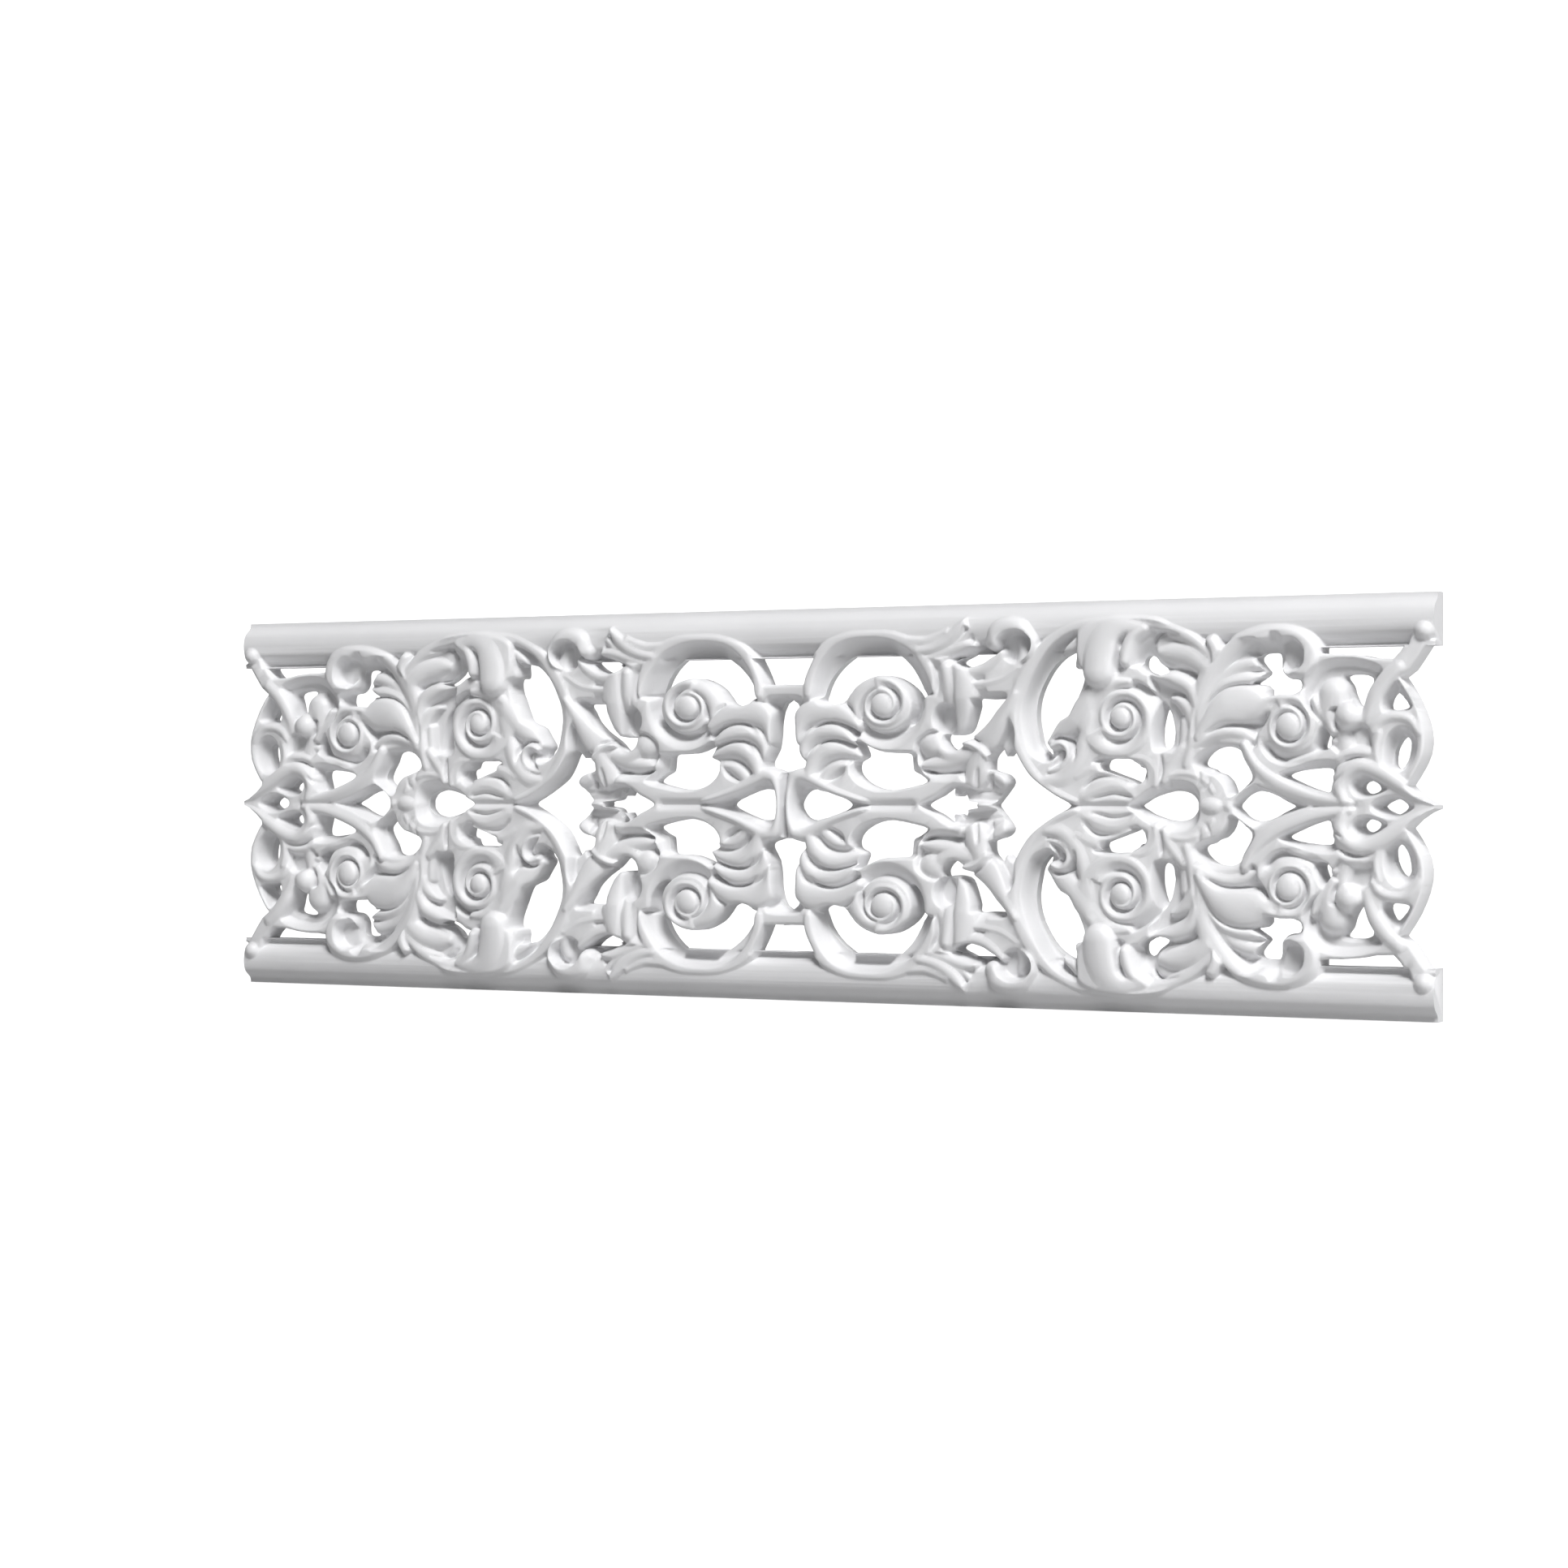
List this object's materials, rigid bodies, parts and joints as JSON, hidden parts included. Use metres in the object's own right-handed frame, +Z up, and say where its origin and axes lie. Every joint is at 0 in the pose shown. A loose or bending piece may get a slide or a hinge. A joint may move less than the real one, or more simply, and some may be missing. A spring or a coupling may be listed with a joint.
{
  "type": "pierced frieze",
  "caption": "Straight pierced frieze of scrolling acanthus leaves between two plain moulded rails, cast in one flat-backed length.",
  "frame": {"origin": "centre of the flat back face, on the back of the central boss", "axes": "+X along the length, +Z up, the carved face looks along -Y and the flat back along +Y"},
  "size_m": [0.8, 0.0235, 0.232],
  "materials": {
    "plaster": "smooth matt white"
  },
  "bodies": {
    "root": {"frieze": "plaster"}
  },
  "joints": []
}
